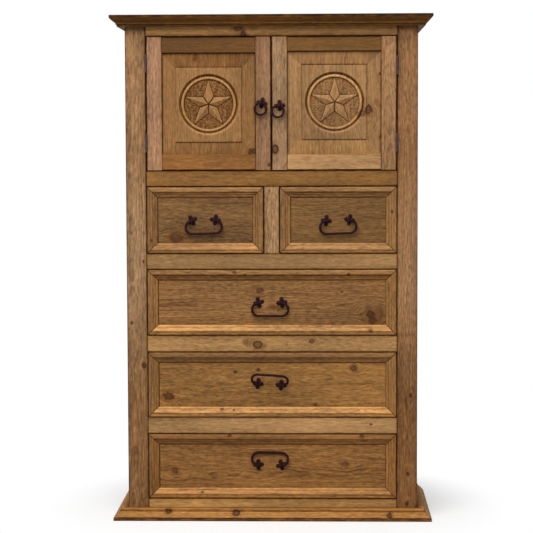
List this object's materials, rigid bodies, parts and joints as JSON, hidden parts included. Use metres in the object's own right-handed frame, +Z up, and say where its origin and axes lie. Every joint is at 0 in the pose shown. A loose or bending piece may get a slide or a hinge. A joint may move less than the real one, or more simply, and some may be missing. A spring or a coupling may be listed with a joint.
{
  "type": "door chest",
  "caption": "Tall pine chest with carved frame-and-panel doors above small and full-width drawers, mitred crown and base mouldings, and iron ring and bail pulls.",
  "frame": {"origin": "on the floor, in the middle of the width and of the overall depth", "axes": "+Z up, the front with the doors and drawers faces -Y, +X to the right of someone facing the front"},
  "size_m": [1.06, 0.497, 1.676],
  "materials": {
    "waxed_pine": "worn dark wax, satin",
    "dark_waxed_pine": "worn dark wax, satin",
    "door_pine": "worn wax, satin",
    "carved_pine": "worn wax, satin",
    "drawer_front_pine": "worn dark wax, satin",
    "unfinished_pine": "bare, matte",
    "dark_iron": "forged, dull",
    "dull_steel": "dull"
  },
  "bodies": {
    "carcass": {"post_left": "waxed_pine", "post_right": "waxed_pine", "top_rail": "waxed_pine", "door_rail": "waxed_pine", "upper_drawer_rail": "waxed_pine", "middle_drawer_rail": "waxed_pine", "lower_drawer_rail": "waxed_pine", "bottom_rail": "waxed_pine", "centre_stile": "waxed_pine", "crown_moulding": "dark_waxed_pine", "base_moulding": "waxed_pine", "side_left": "waxed_pine", "side_right": "waxed_pine", "back_panel": "unfinished_pine", "top_board": "unfinished_pine", "bottom_board": "unfinished_pine", "cabinet_floor": "unfinished_pine", "centre_runner": "unfinished_pine", "door_stop": "unfinished_pine", "left_upper_hinge_post_leaf": "dull_steel", "left_lower_hinge_post_leaf": "dull_steel", "right_upper_hinge_post_leaf": "dull_steel", "right_lower_hinge_post_leaf": "dull_steel"},
    "left_door": {"left_door_frame": "door_pine", "left_door_panel": "carved_pine", "left_door_rosette": "dark_iron", "left_upper_hinge_door_leaf": "dull_steel", "left_lower_hinge_door_leaf": "dull_steel"},
    "left_door_ring": {"left_door_ring": "dark_iron"},
    "right_door": {"right_door_frame": "door_pine", "right_door_panel": "carved_pine", "right_door_rosette": "dark_iron", "right_upper_hinge_door_leaf": "dull_steel", "right_lower_hinge_door_leaf": "dull_steel"},
    "right_door_ring": {"right_door_ring": "dark_iron"},
    "small_left_drawer": {"small_left_drawer_front": "drawer_front_pine", "small_left_drawer_box": "unfinished_pine", "small_left_drawer_rosette_left": "dark_iron", "small_left_drawer_rosette_right": "dark_iron"},
    "small_left_drawer_bail": {"small_left_drawer_bail": "dark_iron"},
    "small_right_drawer": {"small_right_drawer_front": "drawer_front_pine", "small_right_drawer_box": "unfinished_pine", "small_right_drawer_rosette_left": "dark_iron", "small_right_drawer_rosette_right": "dark_iron"},
    "small_right_drawer_bail": {"small_right_drawer_bail": "dark_iron"},
    "upper_drawer": {"upper_drawer_front": "drawer_front_pine", "upper_drawer_box": "unfinished_pine", "upper_drawer_rosette_left": "dark_iron", "upper_drawer_rosette_right": "dark_iron"},
    "upper_drawer_bail": {"upper_drawer_bail": "dark_iron"},
    "middle_drawer": {"middle_drawer_front": "drawer_front_pine", "middle_drawer_box": "unfinished_pine", "middle_drawer_rosette_left": "dark_iron", "middle_drawer_rosette_right": "dark_iron"},
    "middle_drawer_bail": {"middle_drawer_bail": "dark_iron"},
    "lower_drawer": {"lower_drawer_front": "drawer_front_pine", "lower_drawer_box": "unfinished_pine", "lower_drawer_rosette_left": "dark_iron", "lower_drawer_rosette_right": "dark_iron"},
    "lower_drawer_bail": {"lower_drawer_bail": "dark_iron"}
  },
  "joints": [
    {"name": "left_door_hinge", "type": "hinge", "parent": "carcass", "child": "left_door", "pos_m": [-0.4144, -0.205, 1.38625], "axis": [0, 0, -1], "range_deg": [0, 165]},
    {"name": "left_ring_swing", "type": "hinge", "parent": "left_door", "child": "left_door_ring", "pos_m": [-0.0312, -0.2133, 1.38687], "axis": [-0.9763, 0, 0.2164], "range_deg": [-11, 191]},
    {"name": "right_door_hinge", "type": "hinge", "parent": "carcass", "child": "right_door", "pos_m": [0.4144, -0.205, 1.38625], "axis": [0, 0, 1], "range_deg": [0, 165]},
    {"name": "right_ring_swing", "type": "hinge", "parent": "right_door", "child": "right_door_ring", "pos_m": [0.02724, -0.2133, 1.37839], "axis": [-0.9563, 0, 0.2924], "range_deg": [-11, 191]},
    {"name": "small_left_drawer_slide", "type": "slide", "parent": "carcass", "child": "small_left_drawer", "axis": [0, -1, 0], "range_m": [0, 0.33]},
    {"name": "small_left_bail_swing", "type": "hinge", "parent": "small_left_drawer", "child": "small_left_drawer_bail", "pos_m": [-0.22573, -0.2073, 1.0001], "axis": [-0.9997, 0, -0.0262], "range_deg": [-9, 189]},
    {"name": "small_right_drawer_slide", "type": "slide", "parent": "carcass", "child": "small_right_drawer", "axis": [0, -1, 0], "range_m": [0, 0.33]},
    {"name": "small_right_bail_swing", "type": "hinge", "parent": "small_right_drawer", "child": "small_right_drawer_bail", "pos_m": [0.21959, -0.2073, 0.9996], "axis": [-0.9993, 0, -0.0384], "range_deg": [-9, 189]},
    {"name": "upper_drawer_slide", "type": "slide", "parent": "carcass", "child": "upper_drawer", "axis": [0, -1, 0], "range_m": [0, 0.33]},
    {"name": "upper_bail_swing", "type": "hinge", "parent": "upper_drawer", "child": "upper_drawer_bail", "pos_m": [-0.0058, -0.2073, 0.7256], "axis": [-1, 0, 0], "range_deg": [-9, 189]},
    {"name": "middle_drawer_slide", "type": "slide", "parent": "carcass", "child": "middle_drawer", "axis": [0, -1, 0], "range_m": [0, 0.33]},
    {"name": "middle_bail_swing", "type": "hinge", "parent": "middle_drawer", "child": "middle_drawer_bail", "pos_m": [-0.00866, -0.2073, 0.4516], "axis": [-0.9977, 0, 0.068], "range_deg": [-155, 43]},
    {"name": "lower_drawer_slide", "type": "slide", "parent": "carcass", "child": "lower_drawer", "axis": [0, -1, 0], "range_m": [0, 0.33]},
    {"name": "lower_bail_swing", "type": "hinge", "parent": "lower_drawer", "child": "lower_drawer_bail", "pos_m": [-0.00852, -0.2073, 0.1804], "axis": [-0.9998, 0, 0.0209], "range_deg": [-198, 0]}
  ]
}
